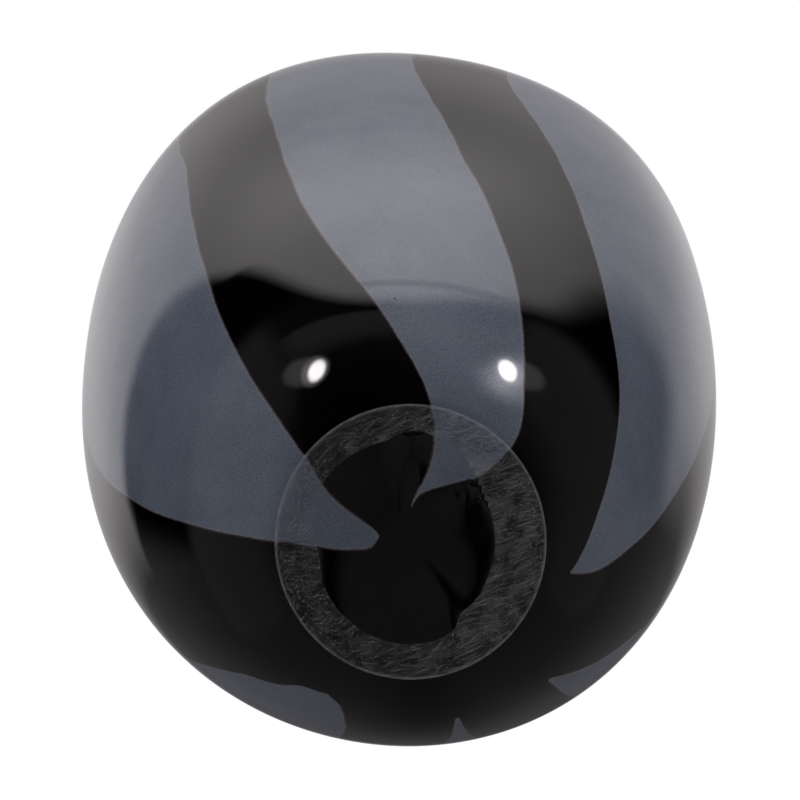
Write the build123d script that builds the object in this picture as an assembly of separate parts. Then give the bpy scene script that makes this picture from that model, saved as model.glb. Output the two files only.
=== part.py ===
"""Hand-blown art-glass vase: a black gather, slate-grey strips laid on it, and a thick clear casing.

The vase stands on its ground foot, with +Z up its axis and the origin at the middle of the foot.
Every layer of the wall is the same meridian curve, set deeper into the glass and spun about Z.
Places on the vase are also given as angles seen from CENTRE, the middle of its widest circle:
a polar angle, which is 0 straight down and 180 straight up, and an azimuth about Z from +X.
"""
import os
from math import cos, hypot, pi, radians, sin

from build123d import *

# Driving dimensions, in millimetres
BODY_RADIUS = 100.0
EQUATOR_HEIGHT = 180.0
VASE_HEIGHT = 290.0
LOWER_REACH = 187.7  # from the equator down to where the round bottom would end, had it not been ground flat
UPPER_REACH = 95.0
LOWER_FULLNESS = 2.43  # 2 is an ellipse, and more is squarer
UPPER_FULLNESS = 2.3
LIP_RADIUS = 40.5
COLOUR_TOP = 282.0
NECK = [(44.2, 269.4, 52.0), (38.9, 275.0, 24.0), (37.5, COLOUR_TOP, 0.0)]  # radius, height, how far it faces up

# Depths into the wall, measured from the outer surface
CASING_DEPTH = 3.0
STRIP_DEPTH = 4.2
COLOUR_DEPTH = 5.4
WALL_DEPTH = 8.4

# The base
COLOUR_BASE = 4.0  # the colour layer's height above the foot plane
KICK_UP = 3.5  # how much higher the layers are at the axis than over the foot ring
KICK_RADIUS = 34.0
CAVITY_FLOOR = 18.0
CAVITY_FULLNESS = 2.5
CAVITY_OVERSHOOT = 8.0  # how far the cavity rises past the lip, to cut it open

# The ground hollow inside the foot ring
RECESS_RADII = (25.2, 30.7)
RECESS_CENTRE = (-1.3, -1.0)
RECESS_DEPTH = 4.0

WALL_POINTS = 9
FLOOR_RADII = (0, 8, 16, 24, 31)  # where a layer's floor is measured off
LOWEST_OUTER_ANGLE = 75.0  # the outer curve's points are evenly spaced above this, in degrees below the equator
LOWEST_WALL_ANGLE = 62.0  # where the wall's curve hands over to the base, in degrees below the equator
SHOULDER_ANGLE = 60.0
CENTRE = Vector(0, 0, EQUATOR_HEIGHT)
CUTTER_NEAR = 40.0  # a strip's cutter starts inside the cavity
CUTTER_FAR = 235.0  # and ends outside the glass
CUTTER_SECTIONS = 20
CUTTER_CROWDING = 1.5  # above 1, the sections stand closer together at the tip

# Each strip as stations from its tip to the lip: polar angle, then the azimuths of its two edges
STRIPS = {
    "wide_left": [(3.2, 164, 192), (5, 166, 205), (8.5, 180, 213), (12, 184, 222), (26, 182, 229),
                  (42, 181, 232), (65, 183, 233), (95, 187, 231), (130, 189, 235), (168, 184, 240)],
    "front": [(3.8, 286, 300), (6, 287, 316), (9, 288, 322), (13, 281, 321), (18, 271, 310),
              (25, 262, 301), (34, 255, 293), (50, 252, 284), (90, 250, 277), (130, 253, 281),
              (168, 249, 286)],
    "wide_right": [(15.2, 374, 379), (18, 358, 377), (23, 339, 372), (30, 322, 366), (42, 310, 360),
                   (62, 301, 356), (90, 295, 353), (130, 298, 349), (168, 296, 352)],
    "back_right": [(20.8, 51, 54), (25, 47, 55.5), (33, 38, 57), (50, 29, 59), (90, 22, 57),
                   (130, 19, 61), (168, 14, 62)],
    "slender": [(19.2, 79.5, 81), (23, 79.5, 83), (30, 79, 86), (50, 77, 90), (90, 74, 93),
                (130, 77, 95), (168, 78, 99)],
    "back_left": [(18.4, 117, 126), (20, 113, 131), (24, 110, 139.5), (37, 108, 144), (60, 109, 149),
                  (90, 112, 151), (130, 110, 148), (168, 112, 156)],
}


def wall_point(angle, depth):
    """A point of the meridian, angle degrees below (-) or above (+) the equator, set in by depth."""
    reach = LOWER_REACH if angle < 0 else UPPER_REACH
    power = LOWER_FULLNESS if angle < 0 else UPPER_FULLNESS
    side = -1 if angle < 0 else 1
    along = cos(radians(angle)) ** (2 / power)
    up = abs(sin(radians(angle))) ** (2 / power)
    normal_r = along ** (power - 1) / BODY_RADIUS
    normal_z = side * up ** (power - 1) / reach
    length = hypot(normal_r, normal_z)
    radius = BODY_RADIUS * along - depth * normal_r / length
    height = EQUATOR_HEIGHT + side * reach * up - depth * normal_z / length
    return radius, height


def foot_radius():
    """Where the round bottom meets the foot plane."""
    share = EQUATOR_HEIGHT / LOWER_REACH
    return BODY_RADIUS * (1 - share**LOWER_FULLNESS) ** (1 / LOWER_FULLNESS)


def base_height(radius, depth):
    """The height of a layer over the base, with its kick-up round the axis."""
    rise = (1 + cos(pi * min(radius / KICK_RADIUS, 1))) / 2
    return COLOUR_BASE + depth - CASING_DEPTH + KICK_UP * rise


def upper_points(depth, drop=0):
    """The meridian from the equator over the shoulder and up the neck, ending drop below COLOUR_TOP."""
    angles = [SHOULDER_ANGLE * k / (WALL_POINTS - 1) for k in range(WALL_POINTS)]
    shoulder = [wall_point(angle, depth) for angle in angles]
    neck = [
        (radius - depth * cos(radians(lean)), height - depth * sin(radians(lean)))
        for radius, height, lean in NECK
    ]
    neck[-1] = (neck[-1][0], neck[-1][1] - drop)
    return shoulder, neck


def spun(edges):
    """The solid of revolution inside a meridian that starts and ends on the axis."""
    return revolve(make_face(Plane.XZ * Wire(edges)), Axis.Z)


def closed_by_axis(curve):
    """A meridian's edges, with the run down the axis that closes them."""
    return curve + [Line(curve[-1] @ 1, curve[0] @ 0)]


def outer_body():
    """The whole vase as if it were solid: foot plane, belly, shoulder, neck and rounded lip."""
    foot = foot_radius()
    angles = [-LOWEST_OUTER_ANGLE * (WALL_POINTS - k) / WALL_POINTS for k in range(1, WALL_POINTS)]
    belly = [(foot, 0)] + [wall_point(angle, 0) for angle in angles]
    shoulder, neck = upper_points(0)
    rim = WALL_DEPTH / 2
    lip = [(LIP_RADIUS, VASE_HEIGHT - rim)]
    ground = Line((0, 0), (foot, 0))
    side = Spline(*belly, *shoulder, *neck, *lip)
    rounded = ThreePointArc(
        side @ 1,
        (LIP_RADIUS - rim + rim * sin(pi / 4), VASE_HEIGHT - rim + rim * cos(pi / 4)),
        (LIP_RADIUS - rim, VASE_HEIGHT),
    )
    top = Line(rounded @ 1, (0, VASE_HEIGHT))
    return spun(closed_by_axis([ground, side, rounded, top]))


def layer_body(depth):
    """Everything inside the surface that lies depth below the outer one, and as far below the clear lip."""
    drop = depth - CASING_DEPTH
    floor = [(radius, base_height(radius, depth)) for radius in FLOOR_RADII]
    angles = [-LOWEST_WALL_ANGLE * (WALL_POINTS - k) / WALL_POINTS for k in range(WALL_POINTS)]
    shoulder, neck = upper_points(depth, drop)
    side = Spline(*floor, *[wall_point(angle, depth) for angle in angles], *shoulder, *neck)
    top = Line(side @ 1, (0, COLOUR_TOP - drop))
    return spun(closed_by_axis([side, top]))


def cavity_body():
    """The hollow of the vase, flared at the lip and open above it."""
    radius = BODY_RADIUS - WALL_DEPTH
    reach = EQUATOR_HEIGHT - CAVITY_FLOOR
    bottom = [
        (radius * cos(a) ** (2 / CAVITY_FULLNESS), EQUATOR_HEIGHT - reach * sin(a) ** (2 / CAVITY_FULLNESS))
        for a in [radians(90 - 90 * k / WALL_POINTS) for k in range(WALL_POINTS)]
    ]
    shoulder, neck = upper_points(WALL_DEPTH)
    rim = WALL_DEPTH / 2
    inner_lip = (LIP_RADIUS - WALL_DEPTH, VASE_HEIGHT - rim)
    side = Spline(*bottom, *shoulder, *neck, inner_lip)
    flare = ThreePointArc(
        side @ 1,
        (LIP_RADIUS - rim - rim * sin(pi / 4), VASE_HEIGHT - rim + rim * cos(pi / 4)),
        (LIP_RADIUS - rim, VASE_HEIGHT),
    )
    chimney = Line(flare @ 1, (LIP_RADIUS - rim, VASE_HEIGHT + CAVITY_OVERSHOOT))
    top = Line(chimney @ 1, (0, VASE_HEIGHT + CAVITY_OVERSHOOT))
    return spun(closed_by_axis([side, flare, chimney, top]))


def recess_body():
    """The shallow oval bowl ground into the foot."""
    bowl = scale(Sphere(1), by=(*RECESS_RADII, RECESS_DEPTH))
    return Pos(*RECESS_CENTRE, 0) * bowl


def seen_from_centre(polar, azimuth, reach):
    """The point reach away from CENTRE in the direction of two angles."""
    across = reach * sin(radians(polar))
    drop = reach * cos(radians(polar))
    return CENTRE + Vector(across * cos(radians(azimuth)), across * sin(radians(azimuth)), -drop)


def edge_slope(stations, k, side):
    """How fast a strip's edge turns at a station, in degrees of azimuth per degree of polar angle."""
    before, after = stations[max(k - 1, 0)], stations[min(k + 1, len(stations) - 1)]
    return (after[side] - before[side]) / (after[0] - before[0])


def edge_azimuth(stations, polar, side):
    """A strip's edge at any polar angle, on a smooth curve through its stations."""
    k = max(i for i in range(len(stations) - 1) if stations[i][0] <= polar)
    start, end = stations[k], stations[k + 1]
    span = end[0] - start[0]
    u = (polar - start[0]) / span
    ease = u * u * (3 - 2 * u)
    leave = u * (1 - u) ** 2 * span * edge_slope(stations, k, side)
    arrive = u * u * (u - 1) * span * edge_slope(stations, k + 1, side)
    return start[side] * (1 - ease) + end[side] * ease + leave + arrive


def station_face(polar, low, high):
    """The flat section of a strip's cutter at one polar angle."""
    corners = [(low, CUTTER_NEAR), (high, CUTTER_NEAR), (high, CUTTER_FAR), (low, CUTTER_FAR)]
    return Face(Wire.make_polygon([seen_from_centre(polar, *corner) for corner in corners]))


def strip_cutter(stations):
    """A fan from CENTRE that takes one strip out of the glass, with its sections closest at the tip."""
    tip, end = stations[0][0], stations[-1][0]
    shares = [(k / CUTTER_SECTIONS) ** CUTTER_CROWDING for k in range(CUTTER_SECTIONS + 1)]
    polars = [tip + (end - tip) * share for share in shares]
    edges = [[edge_azimuth(stations, polar, side) for side in (1, 2)] for polar in polars]
    return loft([station_face(polar, *pair) for polar, pair in zip(polars, edges)])


def save(node, shape):
    """Writes one node, named after its file."""
    solids = shape.solids()
    piece = solids[0] if len(solids) == 1 else Compound(children=solids)
    piece.label = node
    export_step(piece, f"parts/{node}.step")


def build():
    """All the glass of the vase, one node for each piece that the maker gathered or laid on."""
    casing_inside = layer_body(CASING_DEPTH)
    strips_inside = layer_body(STRIP_DEPTH)
    colour_inside = layer_body(COLOUR_DEPTH)
    cavity = cavity_body()

    casing = outer_body() - casing_inside - cavity - recess_body()
    strips = {
        f"grey_strip_{name}": (casing_inside & strip_cutter(stations)) - strips_inside - cavity
        for name, stations in STRIPS.items()
    }
    black = casing_inside - colour_inside - cavity
    for strip in strips.values():
        black = black - strip
    lining = colour_inside - cavity
    return {"clear_casing": casing, "black_gather": black, "inner_gather": lining, **strips}


os.makedirs("parts", exist_ok=True)
for node_name, node_shape in build().items():
    save(node_name, node_shape)
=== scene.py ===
"""The looks of the striped art-glass vase: clear cased glass over black glass and slate strips.

Every layer of the wall is one meridian curve, set deeper into the glass and spun about Z, as in the
CAD model. The colour layers stand a hair proud of the casing's inner face, so that light meets the
colour from inside the clear glass, as it does where glass is fused to glass.
"""

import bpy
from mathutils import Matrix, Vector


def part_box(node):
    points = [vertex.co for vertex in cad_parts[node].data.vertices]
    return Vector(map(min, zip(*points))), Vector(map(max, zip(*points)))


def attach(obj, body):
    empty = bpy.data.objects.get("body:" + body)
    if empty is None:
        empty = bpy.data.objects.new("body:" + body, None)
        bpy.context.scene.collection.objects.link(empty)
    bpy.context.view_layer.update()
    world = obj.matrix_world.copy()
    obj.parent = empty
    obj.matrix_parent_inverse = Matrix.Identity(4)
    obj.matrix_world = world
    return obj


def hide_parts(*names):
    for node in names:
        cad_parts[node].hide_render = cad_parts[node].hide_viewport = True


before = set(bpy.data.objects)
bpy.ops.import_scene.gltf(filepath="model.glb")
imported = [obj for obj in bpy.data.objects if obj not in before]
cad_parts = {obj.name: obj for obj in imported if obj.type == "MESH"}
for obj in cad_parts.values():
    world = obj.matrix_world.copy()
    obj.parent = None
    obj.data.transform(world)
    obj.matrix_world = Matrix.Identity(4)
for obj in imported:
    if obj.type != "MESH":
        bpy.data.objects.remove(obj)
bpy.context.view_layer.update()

from math import asin, cos, pi, radians, sin

import bmesh
import bpy
import numpy as np
from mathutils import Matrix, Vector

CASING_LOW, CASING_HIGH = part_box("clear_casing")
MM = (CASING_HIGH.x - CASING_LOW.x) / 200  # metres in one millimetre of the drawing

# The drawing's sizes, in millimetres
BODY_RADIUS = 100.0
EQUATOR_HEIGHT = 180.0
LOWER_REACH = 187.7
UPPER_REACH = 95.0
LOWER_FULLNESS = 2.43
UPPER_FULLNESS = 2.3
SHOULDER_ANGLE = 60.0
COLOUR_TOP = 282.0
LIP_RADIUS = 40.5
NECK = [(44.2, 269.4), (38.9, 275.0), (37.5, COLOUR_TOP)]  # radius and height
NECK_ZONE = 60.0  # a point nearer the axis than this, above the widest circle, belongs to the neck
VASE_HEIGHT = CASING_HIGH.z / MM
CASING_DEPTH = 3.0
STRIP_DEPTH = 4.2
COLOUR_DEPTH = 5.4
WALL_DEPTH = 8.4
COLOUR_BASE = 4.0
KICK_UP = 3.5
KICK_RADIUS = 34.0
BASE_ZONE = 30.0  # below this height a layer can lie on the flat base
CAVITY_FLOOR = 18.0
CAVITY_FULLNESS = 2.5
POLE_GAP = 0.02  # radians short of the axis at which a layer's outline starts

# How blown glass strays from a turned shape: each swell's count round the vase, size and phase, and
# for the leaning ones how far up it turns by a radian
FOOT_STRETCH = 1.066  # the ground foot is a little longer front to back than it is wide
FOOT_STRETCH_HEIGHT = 24.0
OUT_OF_ROUND = [(4, 1.1, -2.5), (5, 0.4, -0.9)]
LEANING_SWELLS = [(2, 0.20, 0.7, 90), (3, 0.10, 2.1, -50), (5, 0.04, 0.0, 23)]
SWELL_INSET = 0.2
SWELL_START = 50.0  # the swells grow up to this height, and shrink inside SWELL_CORE of the axis
SWELL_CORE = 25.0
PROUD = 0.05  # how far the black stands into the clear glass round it
STRIP_PROUD = 0.16

# The ground hollow: where it lies, how deep it is, and its uneven edge as azimuth and radius, then
# where its wall is steep, as azimuth, spread and extra power, and the chips on its broken side
HOLLOW_CENTRE = (-1.3, -1.0)
HOLLOW_DEPTH = 4.0
HOLLOW_EDGE = [(-55, 29.5), (-24, 25.2), (-3, 25.1), (25, 25.2), (42, 25.8), (58, 25.6), (65, 28.4),
               (77, 29.5), (102, 29.1), (124, 28.1), (155, 26.4), (175, 24.6), (211, 28.2),
               (229, 27.9), (262, 27.7), (267, 28.5), (272, 29.6), (279, 30.1), (286, 30.0),
               (291, 29.3), (298, 29.6)]
HOLLOW_POWER = 2.3
STEEP_WALLS = [(-81, 10, 12), (-40, 17, 5), (62, 8, 1)]
RIPPLES = [(3, 5, 0.14), (7, -9, 0.06)]  # how many, how far they wind, and how high
CHIPPED_SIDE = -38
CHIP_SPACING = 5.2  # degrees
CHIP_REACH = 2.4
FLAKE_START = 0.6  # share of the way out at which the flaked wall begins

# Each strip as stations from its tip to the lip: polar angle, then the azimuths of its two edges
STRIPS = {
    "wide_left": [(3.1, 177, 190), (3.8, 169, 197), (5.5, 173, 205), (8.5, 180, 213), (12, 184, 222),
                  (26, 182, 229), (42, 181, 232), (65, 183, 233), (95, 187, 231), (130, 189, 235),
                  (168, 184, 240)],
    "front": [(2.9, 276.5, 278), (4.3, 284, 291), (5.5, 289, 306), (7, 290.5, 316), (9, 289, 322),
              (13, 281, 321), (18, 271, 310), (25, 262, 301), (34, 255, 293), (50, 252, 284),
              (90, 250, 277), (130, 253, 281), (168, 249, 286)],
    "wide_right": [(15.1, 376.5, 377.3), (18, 358, 377), (23, 339, 372), (30, 322, 366), (42, 310, 360),
                   (62, 301, 356), (90, 295, 353), (130, 298, 349), (168, 296, 352)],
    "back_right": [(20.8, 52.5, 54), (25, 47, 55.5), (33, 38, 57), (50, 29, 59), (90, 22, 57),
                   (130, 19, 61), (168, 14, 62)],
    "slender": [(19.2, 79.8, 80.7), (23, 79.5, 83), (30, 79, 86), (50, 77, 90), (90, 74, 93),
                (130, 77, 95), (168, 78, 99)],
    "back_left": [(17.3, 119, 123), (18.1, 115.5, 128.5), (20, 112.5, 132), (24, 110, 139.5),
                  (37, 108, 144), (60, 109, 149), (90, 112, 151), (130, 110, 148), (168, 112, 156)],
}

# The camera looks up at the foot from in front, a long lens far off
CAMERA_TILT = radians(16)
CAMERA_ROLL = radians(4.3)
CAMERA_DISTANCE = 15 * BODY_RADIUS * MM
CAMERA_LENS = 212.3  # millimetres
SENSOR_WIDTH = 36
AIM_BELOW = 10.5  # millimetres that the picture's middle lies below the widest circle's

AROUND = 288  # columns of every turned surface
BELLY_POINTS = 150  # points on a meridian below the widest circle


# ---------------------------------------------------------------- meridian curves

def superellipse(angle):
    """The outer meridian at an angle in radians below (-) or above (+) the widest circle."""
    reach, power = (LOWER_REACH, LOWER_FULLNESS) if angle < 0 else (UPPER_REACH, UPPER_FULLNESS)
    side = -1 if angle < 0 else 1
    along = max(cos(angle), 0) ** (2 / power)
    return BODY_RADIUS * along, EQUATOR_HEIGHT + side * reach * abs(sin(angle)) ** (2 / power)


def smooth_through(points, steps):
    """Points on a Catmull-Rom curve from the second of points to the last but one."""
    points = [np.array(p, float) for p in points]
    out = []
    for a, b, c, d in zip(points, points[1:], points[2:], points[3:]):
        for u in np.arange(steps) / steps:
            out.append(0.5 * (2 * b + (c - a) * u + (2 * a - 5 * b + 4 * c - d) * u**2
                              + (3 * b - a - 3 * c + d) * u**3))
    return out + [points[-2]]


def outer_meridian(start):
    """From the start angle over belly and shoulder and up the neck to the lip."""
    belly = [superellipse(a) for a in np.linspace(start, 0, BELLY_POINTS)]
    shoulder = [superellipse(a) for a in np.linspace(0, radians(SHOULDER_ANGLE), 60)][1:]
    ahead = [superellipse(radians(SHOULDER_ANGLE - 9)), shoulder[-1], *NECK,
             (LIP_RADIUS, VASE_HEIGHT - WALL_DEPTH / 2), (LIP_RADIUS + 1, VASE_HEIGHT)]
    return np.array(belly + shoulder + smooth_through(ahead, 12)[1:])


def facing_out(curve):
    """The outward normal at each point of a meridian that runs upwards."""
    run = np.gradient(curve, axis=0)
    run /= np.linalg.norm(run, axis=1)[:, None]
    return np.stack([run[:, 1], -run[:, 0]], axis=1)


def base_height(radius, depth):
    """The height of a layer over the base, with its kick-up round the axis."""
    rise = (1 + np.cos(pi * np.minimum(radius / KICK_RADIUS, 1))) / 2
    return COLOUR_BASE + depth - CASING_DEPTH + KICK_UP * rise


def softer_of(a, b, blend=6.0):
    """The larger of two heights, rounded where they cross."""
    return (a + b + np.sqrt((a - b) ** 2 + blend**2)) / 2 - blend / 2 * np.exp(-np.abs(a - b) / blend)


def below_in_neck(curve, height):
    """The points of a meridian, without those in the neck that are above a height."""
    return curve[(curve[:, 1] < height) | (curve[:, 0] > NECK_ZONE)]


def layer_meridian(depth, proud=0.0):
    """A layer's outer meridian from the axis to just under the clear lip."""
    curve = outer_meridian(-pi / 2 + POLE_GAP)
    curve = curve - facing_out(curve) * (depth - proud)
    curve[0, 0] = 0
    low = curve[:, 1] < BASE_ZONE
    curve[low, 1] = softer_of(curve[low, 1], base_height(curve[low, 0], depth - proud))
    top = COLOUR_TOP - (depth - CASING_DEPTH) + proud
    curve = below_in_neck(curve, top)
    return np.vstack([curve, [curve[-1, 0], top]])


def cavity_meridian(lip=True):
    """The hollow of the vase, from its floor to the neck or, with lip, to the top of the rim."""
    radius, reach = BODY_RADIUS - WALL_DEPTH, EQUATOR_HEIGHT - CAVITY_FLOOR
    power = 2 / CAVITY_FULLNESS
    bottom = [(radius * cos(a) ** power, EQUATOR_HEIGHT - reach * sin(a) ** power)
              for a in np.linspace(pi / 2, 0, 90)]
    upper = outer_meridian(-0.001)
    upper = (upper - facing_out(upper) * WALL_DEPTH)[BELLY_POINTS + 1:]
    rim = (LIP_RADIUS - WALL_DEPTH, VASE_HEIGHT - WALL_DEPTH / 2)
    curve = np.vstack([bottom, below_in_neck(upper, rim[1] - 2), [rim]])
    curve[0, 0] = 0
    return curve if lip else below_in_neck(curve, COLOUR_TOP - 1)


def rounded_lip():
    """The half circle over the top of the rim, from outside to inside."""
    rim = WALL_DEPTH / 2
    middle = (LIP_RADIUS - rim, VASE_HEIGHT - rim)
    angles = np.linspace(0, pi, 24)
    return np.stack([middle[0] + rim * np.cos(angles), middle[1] + rim * np.sin(angles)], axis=1)


# ---------------------------------------------------------------- meshes

MERGE_WITHIN = 2e-3  # millimetres within which a pole's points become one
NO_LENGTH = 1e-4  # an edge shorter than this is dropped


def hand_blown(points):
    """Points of the turned shape in millimetres, moved a little as blown glass is, in metres."""
    x, y, z = np.moveaxis(np.asarray(points, float), -1, 0)
    y = y * (1 + (FOOT_STRETCH - 1) * np.exp(-((z / FOOT_STRETCH_HEIGHT) ** 2)))
    azimuth = np.arctan2(y, x)
    radius = np.hypot(x, y)
    swell = -SWELL_INSET
    for count, size, phase, turn_height in LEANING_SWELLS:
        swell = swell + size * np.sin(count * azimuth + phase + z / turn_height)
    for count, size, phase in OUT_OF_ROUND:
        swell = swell + size * np.sin(count * azimuth + phase)
    grown = 1 + swell * np.clip(z / SWELL_START, 0, 1) / np.maximum(radius, SWELL_CORE)
    return np.stack([x * grown, y * grown, z], axis=-1) * MM


def arc(radius, azimuths, height):
    """Points at azimuths, at a radius and height that are numbers or one for each azimuth."""
    heights = np.full_like(azimuths, height)
    return np.stack([radius * np.cos(azimuths), radius * np.sin(azimuths), heights], axis=-1)


def around():
    """The azimuths of a turned surface's columns."""
    return np.arange(AROUND) * 2 * pi / AROUND


def turned(curve):
    """A meridian spun into rows and columns of points."""
    return np.array([arc(radius, around(), height) for radius, height in curve])


def mesh_piece(name, rows, capped=False, row_slots=None):
    """A closed mesh from rows of points that wrap round. The first and last rows either shrink to a
    point or are capped. row_slots gives the material of each band of faces."""
    count, width = rows.shape[:2]
    index = np.arange(count * width).reshape(count, width)
    lower, upper = index[:-1], index[1:]
    faces = np.stack([lower, np.roll(lower, -1, axis=1), np.roll(upper, -1, axis=1), upper], axis=-1)
    polygons = faces.reshape(-1, 4).tolist()
    if capped:
        polygons += [index[0][::-1].tolist(), index[-1].tolist()]
    mesh = bpy.data.meshes.new(name)
    mesh.from_pydata(rows.reshape(-1, 3).tolist(), [], polygons)
    if row_slots is not None:
        mesh.polygons.foreach_set("material_index", np.repeat(row_slots, width).astype(np.int32))
    return mesh


def finished(name, mesh, materials, node, sharp=12):
    """Merges a mesh's poles, turns its faces outwards and makes it the piece that stands for a node."""
    work = bmesh.new()
    work.from_mesh(mesh)
    bmesh.ops.remove_doubles(work, verts=work.verts, dist=MERGE_WITHIN * MM)
    bmesh.ops.dissolve_degenerate(work, edges=work.edges, dist=NO_LENGTH * MM)
    bmesh.ops.recalc_face_normals(work, faces=work.faces)
    work.to_mesh(mesh)
    work.free()
    mesh.shade_smooth()
    mesh.set_sharp_from_angle(angle=radians(sharp))
    for material in materials:
        mesh.materials.append(material)
    piece = bpy.data.objects.new(name, mesh)
    bpy.context.scene.collection.objects.link(piece)
    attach(piece, "root")
    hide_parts(node)
    return piece


def wobble(angles, seed, size):
    """A smooth uneven line round a circle, about size high."""
    draw = np.random.default_rng(seed)
    total = np.zeros_like(angles)
    for turns in range(3, 30, 2):
        total += np.sin(turns * angles + draw.uniform(0, 2 * pi)) * draw.uniform(0.3, 1) / turns**0.6
    return size * total / 1.6


def near(angles, middle, spread):
    """1 at an azimuth in degrees, fading over spread degrees to each side."""
    away = (np.degrees(angles) - middle + 180) % 360 - 180
    return np.exp(-((away / spread) ** 2))


def hollow_edge(angles):
    """How far the ground hollow reaches at each azimuth, with chips on the side that was broken off."""
    places = np.array([a for a, _ in HOLLOW_EDGE], float)
    reaches = [r for _, r in HOLLOW_EDGE]
    turned_places = np.concatenate([places - 360, places, places + 360])
    base = np.interp(np.degrees(angles) % 360, turned_places, np.tile(reaches, 3))
    kernel = np.hanning(9)
    base = np.convolve(np.tile(base, 3), kernel / kernel.sum(), "same")[len(base):2 * len(base)]
    chipped = near(angles, CHIPPED_SIDE, 20)
    saw = np.abs((np.degrees(angles) / CHIP_SPACING) % 1 - 0.4)
    uneven = wobble(angles, 4, 0.16) + 0.5 * wobble(angles, 9, 1) * chipped
    return base + uneven - CHIP_REACH * chipped * saw


def hollow_height(angles, share):
    """The hollow's height at a share of the way from its middle to its edge."""
    steeper = sum(extra * near(angles, middle, spread) for middle, spread, extra in STEEP_WALLS)
    power = HOLLOW_POWER + steeper
    ripple = sum(size * np.sin(count * angles + wind * share) for count, wind, size in RIPPLES) * share**2
    flaked = 0.5 * near(angles, CHIPPED_SIDE, 18) * np.sin(18 * angles + 30 * share)
    flaked = flaked * max(share - FLAKE_START, 0) / (1 - FLAKE_START)
    return HOLLOW_DEPTH * (1 - share**power) + (ripple + flaked) * (1 - share**12)


def underside():
    """The ground hollow and the foot ring, from the middle out to the foot's edge, and its two parts."""
    angles = around()
    edge = hollow_edge(angles)
    rows = []
    for share in np.linspace(0, 1, 34) ** 0.8:
        reach = share * (edge.mean() + (edge - edge.mean()) * share**8)
        rows.append(arc(reach, angles, hollow_height(angles, share)) + (*HOLLOW_CENTRE, 0))
    outer = arc(superellipse(-foot_angle())[0], angles, 0)
    ring = [rows[-1] * (1 - s) + outer * s for s in np.linspace(0, 1, 9)[1:]]
    return np.array(rows + ring), len(rows) - 1, len(ring)


def foot_angle():
    """How far below the widest circle the belly meets the foot plane, in radians."""
    return asin((EQUATOR_HEIGHT / LOWER_REACH) ** (LOWER_FULLNESS / 2))


def casing_piece(clear, ground, hollow):
    """The clear casing: hollow, foot ring, belly, shoulder, neck, lip, and back down its inner face."""
    bottom, hollow_bands, ring_bands = underside()
    belly = turned(outer_meridian(-foot_angle())[1:])
    lip = turned(rounded_lip()[1:])
    inner_rim = cavity_meridian()[::-1]
    inner_rim = inner_rim[(inner_rim[:, 1] > COLOUR_TOP) & (inner_rim[:, 0] < NECK_ZONE)]
    inner_rim = np.vstack([inner_rim[1:], [inner_rim[-1, 0], COLOUR_TOP]])
    face = turned(layer_meridian(CASING_DEPTH)[::-1])
    rows = np.concatenate([bottom, belly, lip, turned(inner_rim), face])
    slots = np.zeros(len(rows) - 1)
    slots[:hollow_bands] = 2
    slots[hollow_bands:hollow_bands + ring_bands] = 1
    mesh = mesh_piece("casing", hand_blown(rows), row_slots=slots)
    return finished("clear_casing_glass", mesh, [clear, ground, hollow], "clear_casing")


def black_piece(material):
    """The black gather, from the axis up its outside, over its top and down its inside."""
    outside = layer_meridian(CASING_DEPTH, PROUD)
    inside = layer_meridian(COLOUR_DEPTH, -PROUD)[::-1]
    mouth = cavity_meridian(lip=False)[-1, 0] + 0.1
    over = np.array([(mouth, outside[-1, 1]), (mouth, inside[0, 1])])
    rows = turned(np.vstack([outside, over, inside]))
    mesh = mesh_piece("black", hand_blown(rows))
    return finished("black_gather_glass", mesh, [material], "black_gather")


def lining_piece(material):
    """The inner gather, from its underside over its top and down the hollow of the vase."""
    outside = layer_meridian(COLOUR_DEPTH)
    inside = cavity_meridian(lip=False)[::-1]
    inside = np.vstack([[inside[0, 0], outside[-1, 1]], inside])
    rows = turned(np.vstack([outside, inside]))
    mesh = mesh_piece("lining", hand_blown(rows))
    return finished("inner_gather_glass", mesh, [material], "inner_gather")


# ---------------------------------------------------------------- strips

HALO = 0.5  # millimetres of thin red-brown glass along a strip's edges
EDGE_COLUMNS = np.array([0, 0.25, 0.5, 0.75, 1.0, 1.4, 2.2, 3.6])  # their places in from each edge
MIDDLE_COLUMNS = 14
ROW_SPACING = 1.3
TIP_ROUNDING = 1.4  # millimetres over which a tip comes to its full width
SWING_SIZE = 0.13  # how far a strip's edges stray, in millimetres, and how fast in radians per degree
SWING_RATES = (0.1, 0.23, 0.6)
SWING_CORE = 8.0  # nearer the axis than this a strip sways no further round
WIDTH_SWING_START = 30.0  # nearer the axis than this its width strays less
THINNEST_TIP = 0.02


def edge_slope(stations, k, side):
    """How fast a strip's edge turns at a station, in degrees of azimuth per degree of polar angle."""
    before, after = stations[max(k - 1, 0)], stations[min(k + 1, len(stations) - 1)]
    return (after[side] - before[side]) / (after[0] - before[0])


def edge_azimuth(stations, polar, side):
    """A strip's edge at any polar angle, on a smooth curve through its stations."""
    polar = max(polar, stations[0][0])
    k = max(i for i in range(len(stations) - 1) if stations[i][0] <= polar)
    start, end = stations[k], stations[k + 1]
    span = end[0] - start[0]
    u = (polar - start[0]) / span
    ease = u * u * (3 - 2 * u)
    leave = u * (1 - u) ** 2 * span * edge_slope(stations, k, side)
    arrive = u * u * (u - 1) * span * edge_slope(stations, k + 1, side)
    return start[side] * (1 - ease) + end[side] * ease + leave + arrive


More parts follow.
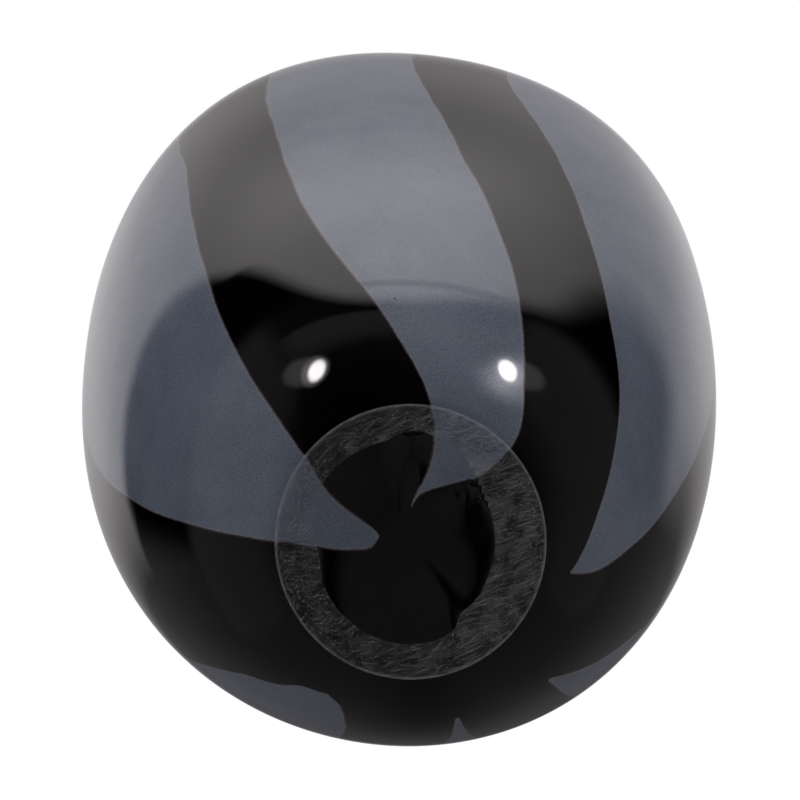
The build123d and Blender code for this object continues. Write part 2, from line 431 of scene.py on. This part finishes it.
class Meridian:
    """A layer's meridian and flat top, looked up by the polar angle seen from the widest circle."""

    def __init__(self, depth, proud):
        curve = layer_meridian(depth, proud)
        mouth = cavity_meridian(lip=False)[-1, 0] + 0.2
        curve = np.vstack([curve, [mouth, curve[-1, 1]]])
        self.polar = np.degrees(np.arctan2(curve[:, 0], EQUATOR_HEIGHT - curve[:, 1]))
        self.curve = curve

    def at(self, polar):
        """Radius and height at polar angles in degrees."""
        return [np.interp(polar, self.polar, self.curve[:, k]) for k in (0, 1)]

    def rows(self, first, spacing):
        """Polar angles from first to the end, closest together near the tip."""
        steps = np.hypot(*np.diff(self.curve, axis=0).T)
        along = np.concatenate([[0], np.cumsum(steps)])
        start = np.interp(first, self.polar, along)
        run = along[-1] - start
        count = int(run / spacing)
        places = start + run * (np.arange(count + 1) / count) ** 1.5
        return np.interp(places, along, self.polar)


def edge_swings(seed):
    """How far a strip's two edges stray at a polar angle, as a function that returns both."""
    phases = np.random.default_rng(seed).uniform(0, 2 * pi, (2, len(SWING_RATES)))

    def swings(polar):
        return [SWING_SIZE * sum(np.sin(polar * rate + phase) for rate, phase in zip(SWING_RATES, side))
                for side in phases]
    return swings


def columns_across(half):
    """Distances across a strip of a half width, close together along both edges."""
    squeeze = min(1, half / (EDGE_COLUMNS[-1] * 1.2))
    near_edge = EDGE_COLUMNS * squeeze
    inner = np.linspace(near_edge[-1], 2 * half - near_edge[-1], MIDDLE_COLUMNS + 2)[1:-1]
    return np.concatenate([near_edge, inner, (2 * half - near_edge)[::-1]])


def strip_span(stations, polar, radius, swings):
    """A strip's middle azimuth and its half width in millimetres at a polar angle."""
    low, high = [edge_azimuth(stations, polar, side) for side in (1, 2)]
    sway = (swings[0] + swings[1]) / 2
    widening = (swings[1] - swings[0]) / 2 * min(radius / WIDTH_SWING_START, 1)
    middle = radians(low + high) / 2 + sway / max(radius, SWING_CORE)
    return middle, radians(high - low) / 2 * radius + widening


def rounded_tip(half, along):
    """A half width, narrowed to a round end. along goes from 0 at the tip to 1 where that stops."""
    return max(half * np.sqrt(1 - (1 - min(along, 1)) ** 2), THINNEST_TIP)


def strip_rows(stations, seed, face, back):
    """A strip's points row by row, each a loop across its face and back again, and edge distances."""
    tip_radius, tip_height = face.at(stations[0][0])
    degree_mm = radians(1) * np.hypot(tip_radius, EQUATOR_HEIGHT - tip_height)
    first = stations[0][0] - HALO / degree_mm
    tip_width = radians(stations[0][2] - stations[0][1]) * tip_radius
    rounding = TIP_ROUNDING * min(0.2 + tip_width / 3, 1)
    swings = edge_swings(seed)
    rows, distances = [], []
    for polar in face.rows(first, ROW_SPACING):
        radius, height = face.at(polar)
        back_radius, back_height = back.at(polar)
        from_tip = (polar - first) * degree_mm
        halo = HALO * min(0.3 + from_tip / 6, 1)
        middle, half = strip_span(stations, polar, radius, swings(polar))
        half = rounded_tip(half + halo, from_tip / rounding)
        across = columns_across(half)
        turn = middle + (across - half) / radius
        rows.append(np.concatenate([arc(radius, turn, height), arc(back_radius, turn[::-1], back_height)]))
        distance = np.minimum(np.minimum(across, 2 * half - across), from_tip) - halo
        distances.append(np.concatenate([distance, distance[::-1]]))
    return np.array(rows), np.array(distances)


def strip_piece(name, stations, seed, material, face, back):
    """One slate strip with its thin brown edge, sunk into the black."""
    rows, distances = strip_rows(stations, seed, face, back)
    mesh = mesh_piece(name, hand_blown(rows), capped=True)
    edge = mesh.attributes.new("edge_mm", "FLOAT", "POINT")
    edge.data.foreach_set("value", distances.reshape(-1).astype(np.float32))
    node = f"grey_strip_{name}"
    return finished(f"{node}_glass", mesh, [material], node, sharp=40)


# ---------------------------------------------------------------- material nodes

CLEAR = (0.985, 0.99, 0.992, 1)
GROUND = (0.97, 0.97, 0.98, 1)
UNPOWDERED = (0.0, 0.0, 0.004, 1)
POWDER_WHITE = (0.98, 0.98, 1.0, 1)
BLACK = (0.0012, 0.0010, 0.0014, 1)
BLACK_BROWN = (0.0050, 0.0036, 0.0040, 1)
BLACK_SPECK = (0.007, 0.006, 0.007, 1)
SLATE = (0.172, 0.202, 0.284, 1)
SLATE_CLOUD = (0.220, 0.254, 0.340, 1)
SLATE_PALE_GRAIN = (0.290, 0.320, 0.385, 1)
SLATE_DARK_GRAIN = (0.085, 0.100, 0.140, 1)
SLATE_PIT = (0.012, 0.014, 0.022, 1)
SLATE_RIM = (0.38, 0.395, 0.43, 1)
EDGE_BLACK = (0.002, 0.0014, 0.0015, 1)
EDGE_BROWN = (0.085, 0.026, 0.026, 1)
GLASS_IOR = 1.5
SLATE_IOR = 1.62
EDGE_WANDER = 0.5  # millimetres that the grain moves a strip's edge
PIT_SPACING = 11  # millimetres


def add_node(tree, kind, inputs=None, **settings):
    """A shader node with its settings, and its inputs linked or set."""
    node = tree.nodes.new("ShaderNode" + kind)
    for key, value in settings.items():
        setattr(node, key, value)
    for key, value in (inputs or {}).items():
        if isinstance(value, bpy.types.NodeSocket):
            tree.links.new(value, node.inputs[key])
        else:
            node.inputs[key].default_value = value
    return node


def calc(tree, operation, *values):
    """The result of a Math node."""
    return add_node(tree, "Math", dict(enumerate(values)), operation=operation).outputs[0]


def step(tree, value, start, end, low=0.0, high=1.0):
    """A smooth step from low at start to high at end. start may be above end."""
    if start > end:
        start, end, low, high = end, start, high, low
    inputs = {"Value": value, "From Min": start, "From Max": end, "To Min": low, "To Max": high}
    return add_node(tree, "MapRange", inputs, interpolation_type="SMOOTHSTEP").outputs["Result"]


def dot(tree, first, second):
    """The dot product of two vectors."""
    return add_node(tree, "VectorMath", {0: first, 1: second}, operation="DOT_PRODUCT").outputs["Value"]


def squares_added(tree, first, second):
    """The sum of the squares of two values."""
    return calc(tree, "ADD", calc(tree, "MULTIPLY", first, first), calc(tree, "MULTIPLY", second, second))


def blend(tree, factor, first, second):
    """A colour between two colours."""
    mix = add_node(tree, "Mix", {0: factor, 6: first, 7: second}, data_type="RGBA")
    return mix.outputs[2]


def new_material(name):
    """An empty node material, its tree and its output."""
    material = bpy.data.materials.new(name)
    material.use_nodes = True
    tree = material.node_tree
    tree.nodes.clear()
    return material, tree, add_node(tree, "OutputMaterial")


def millimetres(tree, stretch=(1, 1, 1), turn=(0, 0, 0)):
    """The point on the object in millimetres, turned and stretched for grain that has a direction."""
    place = add_node(tree, "TexCoord").outputs["Object"]
    inputs = {"Vector": place, "Rotation": turn, "Scale": tuple(MM * s for s in stretch)}
    return add_node(tree, "Mapping", inputs, vector_type="TEXTURE").outputs[0]


def noise(tree, place, size, detail=2.0, rough=0.5):
    """Noise whose features are about size millimetres wide."""
    inputs = {"Vector": place, "Scale": 1 / size, "Detail": detail, "Roughness": rough}
    return add_node(tree, "TexNoise", inputs).outputs["Fac"]


def clear_glass(name, haze=0.0, wave=0.02):
    """Polished clear glass with faint waves, and smears that barely dull it."""
    material, tree, output = new_material(name)
    place = millimetres(tree)
    rough = step(tree, noise(tree, place, 14, 4), 0.45, 0.8, haze, haze + 0.03)
    waves = noise(tree, place, 16, 1)
    bump = add_node(tree, "Bump", {"Height": waves, "Strength": 1.0, "Distance": wave * MM})
    glass = add_node(tree, "BsdfPrincipled", {
        "Base Color": CLEAR, "Roughness": rough, "IOR": GLASS_IOR,
        "Transmission Weight": 1.0, "Normal": bump.outputs[0]})
    tree.links.new(glass.outputs[0], output.inputs["Surface"])
    return material


POWDER_COVER = 0.24  # how much of the ground ring shows powdered glass, and how white its parts are
HAZE_WHITE = 0.06
SCRATCH_WHITE = 0.45
# how white the painted glints on the ground grain are
PAINTED_GLINT_WHITE = 0.9
# how white the painted glint along the ring's outer edge is
PAINTED_EDGE_GLINT_WHITE = 0.30
RING_EDGE = 38.25  # millimetres from the middle at which the ring's painted edge glint begins
SCRATCH_LENGTH = 28  # how many times longer than wide a scratch is
MAIN_SCRATCHES = (-18, 0.26, 0.59)  # direction in degrees, width, and how rare they are
CROSS_SCRATCHES = [  # the same, then how strong they are
    (-44, 0.25, 0.64, 0.85), (8, 0.26, 0.64, 0.8), (72, 0.25, 0.67, 0.6),
]


def scratches(tree, direction, width, rarity):
    """Fine straight scratches running in one direction in degrees, 1 on a scratch."""
    place = millimetres(tree, (SCRATCH_LENGTH, 1, 1), (0, 0, radians(direction)))
    return step(tree, noise(tree, place, width, 1, 0.4), rarity, rarity + 0.07)


def ring_place(tree):
    """On the foot ring: how far to the right, and how far from the middle, in millimetres."""
    x, y, _ = add_node(tree, "SeparateXYZ", {0: millimetres(tree)}).outputs
    return x, calc(tree, "SQRT", squares_added(tree, x, calc(tree, "DIVIDE", y, FOOT_STRETCH)))


def ring_marks(tree, across):
    """The scratches on the foot ring, which cross; the main ones are painted whiter on the right, where
    light catches them.
    """
    marks = calc(tree, "MULTIPLY", scratches(tree, *MAIN_SCRATCHES), step(tree, across, -25, 25, 0.35, 1.0))
    for *scratch, share in CROSS_SCRATCHES:
        marks = calc(tree, "MAXIMUM", marks, calc(tree, "MULTIPLY", scratches(tree, *scratch), share))
    return marks


def ground_glass():
    """The ground ring: roughened glass, haze, scratches, painted glints on its grain and outer edge, and
    painted light on its right.
    """
    material, tree, output = new_material("ground_foot_glass")
    place = millimetres(tree)
    across, out = ring_place(tree)
    marks = ring_marks(tree, across)
    grain = noise(tree, place, 0.45, 3, 0.6)
    cloud = noise(tree, place, 6, 1)
    # painted glints: tiny white specks of light on the ground grain
    painted_glints = step(tree, noise(tree, place, 0.40, 0), 0.68, 0.77)
    # painted glint: a pale line along the ring's outer edge, where light catches it
    edge = step(tree, calc(tree, "MULTIPLY_ADD", grain, 1.2, out), RING_EDGE - 0.35, RING_EDGE + 0.35)
    pale = calc(tree, "MULTIPLY_ADD", step(tree, cloud, 0.35, 0.65), HAZE_WHITE, 0.01)
    # painted light: the haze is brightened towards the right of the ring, where light falls on it
    pale = calc(tree, "MULTIPLY", pale, step(tree, across, -20, 34, 0.75, 1.7))
    for part, white in ((marks, SCRATCH_WHITE), (painted_glints, PAINTED_GLINT_WHITE), (edge, PAINTED_EDGE_GLINT_WHITE)):
        pale = calc(tree, "MULTIPLY_ADD", part, white, pale)
    powdered = blend(tree, pale, UNPOWDERED, POWDER_WHITE)
    height = calc(tree, "ADD", grain, calc(tree, "MULTIPLY", marks, -0.8))
    bump = add_node(tree, "Bump", {"Height": height, "Strength": 0.25, "Distance": 0.05 * MM})
    glass = add_node(tree, "BsdfPrincipled", {
        "Base Color": GROUND, "Roughness": 0.3, "IOR": GLASS_IOR,
        "Transmission Weight": 1.0, "Normal": bump.outputs[0]})
    powder = add_node(tree, "BsdfPrincipled", {
        "Base Color": powdered, "Roughness": 0.7, "Specular IOR Level": 0.1,
        "Normal": bump.outputs[0]})
    mix = add_node(tree, "MixShader", {0: POWDER_COVER, 1: glass.outputs[0], 2: powder.outputs[0]})
    tree.links.new(mix.outputs[0], output.inputs["Surface"])
    return material


def black_glass():
    """Opaque black glass, a trace brown and uneven deep down."""
    material, tree, output = new_material("black_glass")
    place = millimetres(tree)
    colour = blend(tree, step(tree, noise(tree, place, 22, 4), 0.4, 0.75), BLACK, BLACK_BROWN)
    colour = blend(tree, step(tree, noise(tree, place, 0.5, 1), 0.76, 0.84), colour, BLACK_SPECK)
    shader = add_node(tree, "BsdfPrincipled", {
        "Base Color": colour, "Roughness": step(tree, noise(tree, place, 3), 0.3, 0.7, 0.5, 0.7),
        "Specular IOR Level": 0.0})
    tree.links.new(shader.outputs[0], output.inputs["Surface"])
    return material


def slate_pits(tree, place):
    """Small dark pits, far apart and only in some patches."""
    spots = add_node(tree, "TexVoronoi", {"Vector": place, "Scale": 1 / PIT_SPACING, "Randomness": 1.0})
    chosen = step(tree, noise(tree, place, 26, 0), 0.52, 0.56, 0.0, 0.75)
    return calc(tree, "MULTIPLY", step(tree, spots.outputs["Distance"], 0.055, 0.03), chosen)


def slate_glass():
    """Slate powder glass: fine grain, soft clouds and pits, pale just inside its edge and brown outside."""
    material, tree, output = new_material("slate_glass")
    place = millimetres(tree)
    edge = add_node(tree, "Attribute", attribute_name="edge_mm").outputs["Fac"]
    wander = calc(tree, "SUBTRACT", noise(tree, place, 1.1, 2), 0.5)
    edge = calc(tree, "MULTIPLY_ADD", wander, EDGE_WANDER, edge)
    cloud = noise(tree, place, 18, 4, 0.55)
    grain = noise(tree, place, 0.42, 2, 0.65)
    colour = blend(tree, step(tree, cloud, 0.3, 0.7), SLATE, SLATE_CLOUD)
    colour = blend(tree, step(tree, grain, 0.45, 0.7, 0, 0.52), colour, SLATE_PALE_GRAIN)
    colour = blend(tree, step(tree, grain, 0.5, 0.3, 0, 0.50), colour, SLATE_DARK_GRAIN)
    colour = blend(tree, slate_pits(tree, place), colour, SLATE_PIT)
    rim = calc(tree, "MULTIPLY", step(tree, edge, 0.0, 0.2), step(tree, edge, 0.75, 0.4))
    colour = blend(tree, calc(tree, "MULTIPLY", rim, 0.16), colour, SLATE_RIM)
    brown = blend(tree, step(tree, edge, -HALO, -0.3), EDGE_BLACK, EDGE_BROWN)
    colour = blend(tree, step(tree, edge, -0.12, 0.12), brown, colour)
    shader = add_node(tree, "BsdfPrincipled", {
        "Base Color": colour, "Roughness": step(tree, grain, 0.3, 0.7, 0.16, 0.26),
        "IOR": SLATE_IOR, "Specular IOR Level": 0.45})
    tree.links.new(shader.outputs[0], output.inputs["Surface"])
    return material


# ---------------------------------------------------------------- the room

# Directions here are unit vectors from the vase: x right, y away from the camera's side, z up
SWEEP_FOOT = 0.10  # how high the paper sweep's lower edge is in the middle
SWEEP_BOW = 0.75  # how much higher it is at the sides, and how much less of that on the right
SWEEP_SKEW = 0.6
SWEEP_RIGHT = (0.82, 0.64)  # where the sweep fades in at its right, left and back edges
SWEEP_LEFT = (-0.70, -0.62)
SWEEP_BACK = (0.52, 0.2)
ROOM_TINT = (1.03, 0.985, 1.0, 1)
DOME_LIGHT = 0.7  # what matt surfaces see at the horizon, and how much more above and in front
DOME_RISE = 0.3
DOME_FRONT = 0.38
DOME_DARKEST = 0.15
LAMPS = [  # direction, direction its tail runs towards, brightness
    ((-0.54, -0.77, -0.41), (-0.74, -0.64, -0.20), 24.0),
    ((0.70, -0.66, -0.32), (0.90, -0.41, -0.13), 24.0),
]
LAMP_PARTS = [  # core, glow and tail: shift along the tail, half length, half width, share of brightness
    (0.0, 0.068, 0.10, 1.0), (0.02, 0.11, 0.13, 0.10), (0.11, 0.17, 0.13, 0.03),
]


def lamp_glow(tree, place, direction, tail, brightness):
    """A small softbox seen from the vase: a bright core with a fainter tail to one side."""
    middle = Vector(direction).normalized()
    run = Vector(tail).normalized() - middle
    run = (run - run.dot(middle) * middle).normalized()
    along_tail, beside_tail = dot(tree, place, run), dot(tree, place, middle.cross(run))
    total = 0.0
    for shift, half_length, half_width, share in LAMP_PARTS:
        along = calc(tree, "DIVIDE", calc(tree, "SUBTRACT", along_tail, shift), half_length)
        across = calc(tree, "DIVIDE", beside_tail, half_width)
        square = squares_added(tree, along, across)
        spot = calc(tree, "MULTIPLY", step(tree, square, 1.5, 0.3), brightness * share)
        total = calc(tree, "MAXIMUM", total, spot)
    in_front = calc(tree, "GREATER_THAN", dot(tree, place, middle), 0.0)
    return calc(tree, "MULTIPLY", total, in_front)


def sweep_glow(tree, x, y, z):
    """The pale paper sweep above and behind the vase: an arch, brightest overhead."""
    side = calc(tree, "ABSOLUTE", x)
    bow = calc(tree, "MULTIPLY_ADD", x, -SWEEP_SKEW, SWEEP_BOW)
    foot = calc(tree, "MULTIPLY_ADD", calc(tree, "MULTIPLY", side, side), bow, SWEEP_FOOT)
    mask = calc(tree, "MULTIPLY", step(tree, x, *SWEEP_RIGHT), step(tree, x, *SWEEP_LEFT))
    mask = calc(tree, "MULTIPLY", mask, step(tree, y, *SWEEP_BACK))
    mask = calc(tree, "MULTIPLY", mask, step(tree, calc(tree, "SUBTRACT", z, foot), -0.04, 0.13))
    overhead = step(tree, calc(tree, "MULTIPLY", y, -1.0), 0.3, 0.85, 0.64, 1.4)
    high = calc(tree, "MULTIPLY_ADD", side, -0.5, z)
    lit = calc(tree, "MULTIPLY", overhead, step(tree, high, 0.6, 0.88, 1.06, 0.8))
    behind = calc(tree, "MULTIPLY", step(tree, z, 0.7, 0.9), step(tree, y, -0.05, 0.2, -0.12, 0.18))
    lit = calc(tree, "MULTIPLY", lit, calc(tree, "ADD", behind, step(tree, x, 0.15, 0.6, 1.0, 0.8)))
    return calc(tree, "MULTIPLY", mask, lit)


def room_glow(tree, x, y, z):
    """The dim rest of the room: a little light low at the sides and behind, almost none in front."""
    side = calc(tree, "ABSOLUTE", x)
    low = calc(tree, "MULTIPLY", step(tree, z, 0.3, 0.15), step(tree, side, 0.6, 0.75, 0.03, 0.15))
    low = calc(tree, "MULTIPLY", low, step(tree, z, -0.7, -0.3, 0.25, 1.0))
    behind = calc(tree, "MULTIPLY", step(tree, y, 0.25, 0.42), step(tree, side, 0.0, 0.3, 0.07, 0.11))
    eye_side = calc(tree, "MULTIPLY", step(tree, z, -0.86, -0.95), 0.11)
    fore = calc(tree, "MULTIPLY", step(tree, z, -0.4, -0.1, 0.0, 0.2), step(tree, z, 0.07, 0.02))
    fore = calc(tree, "MULTIPLY", fore, step(tree, y, -0.6, -0.85))
    return calc(tree, "MAXIMUM", calc(tree, "MAXIMUM", low, behind), calc(tree, "MAXIMUM", eye_side, fore))


def light_room():
    """A world that is white to the eye, a soft dome to matt surfaces, and a studio to reflections."""
    world = bpy.data.worlds.new("studio")
    world.use_nodes = True
    world.cycles.sampling_method = "NONE"
    bpy.context.scene.world = world
    tree = world.node_tree
    tree.nodes.clear()
    place = add_node(tree, "TexCoord").outputs["Generated"]
    x, y, z = add_node(tree, "SeparateXYZ", {0: place}).outputs
    glow = calc(tree, "MAXIMUM", sweep_glow(tree, x, y, z), room_glow(tree, x, y, z))
    for lamp in LAMPS:
        glow = calc(tree, "MAXIMUM", glow, lamp_glow(tree, place, *lamp))
    dome = calc(tree, "MULTIPLY_ADD", z, DOME_RISE, DOME_LIGHT)
    dome = calc(tree, "MAXIMUM", calc(tree, "MULTIPLY_ADD", y, -DOME_FRONT, dome), DOME_DARKEST)
    rays = add_node(tree, "LightPath").outputs
    scattered = calc(tree, "GREATER_THAN", rays["Diffuse Depth"], 0.5)
    studio = add_node(tree, "Background", {"Color": ROOM_TINT, "Strength": glow})
    soft = add_node(tree, "Background", {"Color": (1, 1, 1, 1), "Strength": dome})
    white = add_node(tree, "Background", {"Color": (1, 1, 1, 1), "Strength": 1.0})
    lit = add_node(tree, "MixShader", {0: scattered, 1: studio.outputs[0], 2: soft.outputs[0]})
    seen = add_node(tree, "MixShader", {0: rays["Is Camera Ray"], 1: lit.outputs[0], 2: white.outputs[0]})
    output = add_node(tree, "OutputWorld")
    tree.links.new(seen.outputs[0], output.inputs["Surface"])


FLOOR_SIZE = 6  # metres
FLOOR_GAP = 0.3  # millimetres under the foot, so that the two never share a plane
FLOOR_GREY = (0.86, 0.86, 0.86, 1)


def pale_floor():
    """A pale floor under the foot, seen from above only, so that the foot can be looked at from below."""
    bpy.ops.mesh.primitive_plane_add(size=FLOOR_SIZE, location=(0, 0, -FLOOR_GAP * MM))
    floor = bpy.context.object
    floor.name = "studio_floor"
    material, tree, output = new_material("studio_floor")
    matt = add_node(tree, "BsdfPrincipled", {
        "Base Color": FLOOR_GREY, "Roughness": 0.9, "Specular IOR Level": 0.1})
    unseen = add_node(tree, "BsdfTransparent")
    rays = add_node(tree, "LightPath").outputs
    front = calc(tree, "SUBTRACT", 1.0, add_node(tree, "NewGeometry").outputs["Backfacing"])
    sharp = rays["Is Glossy Ray"]
    for depth in ("Diffuse Depth", "Transparent Depth"):
        sharp = calc(tree, "MULTIPLY", sharp, calc(tree, "LESS_THAN", rays[depth], 0.5))
    shown = calc(tree, "MULTIPLY", front, calc(tree, "MAXIMUM", rays["Is Camera Ray"], sharp))
    mix = add_node(tree, "MixShader", {0: shown, 1: unseen.outputs[0], 2: matt.outputs[0]})
    tree.links.new(mix.outputs[0], output.inputs["Surface"])
    floor.data.materials.append(material)


def place_camera():
    """A long lens from below and in front, aimed a little below the widest circle."""
    data = bpy.data.cameras.new("camera")
    data.lens = CAMERA_LENS
    data.sensor_width = SENSOR_WIDTH
    data.clip_start = 0.05
    data.clip_end = 50
    camera = bpy.data.objects.new("camera", data)
    bpy.context.scene.collection.objects.link(camera)
    look = Vector((0, sin(CAMERA_TILT), cos(CAMERA_TILT)))
    rise = Vector((0, -cos(CAMERA_TILT), sin(CAMERA_TILT)))
    middle = Vector((0, 0, EQUATOR_HEIGHT * MM))
    eye = middle - look * CAMERA_DISTANCE
    aim = middle - rise * AIM_BELOW * MM
    ahead = (aim - eye).normalized()
    up = Vector((1, 0, 0)) * sin(CAMERA_ROLL) + rise * cos(CAMERA_ROLL)
    right = ahead.cross(up).normalized()
    up = right.cross(ahead)
    turn = Matrix((right, up, -ahead)).transposed()
    camera.matrix_world = Matrix.Translation(eye) @ turn.to_4x4()
    bpy.context.scene.camera = camera


# ---------------------------------------------------------------- the vase

casing_piece(clear_glass("clear_glass"), ground_glass(), clear_glass("hollow_glass", 0.03, 0.05))
black_piece(black_glass())
lining_piece(clear_glass("smoke_glass"))
slate = slate_glass()
strip_face, strip_back = Meridian(CASING_DEPTH, STRIP_PROUD), Meridian(STRIP_DEPTH, 0.0)
for seed, (strip, stations) in enumerate(STRIPS.items()):
    strip_piece(strip, stations, seed, slate, strip_face, strip_back)

light_room()
pale_floor()
place_camera()
bpy.context.scene.view_settings.view_transform = "Standard"
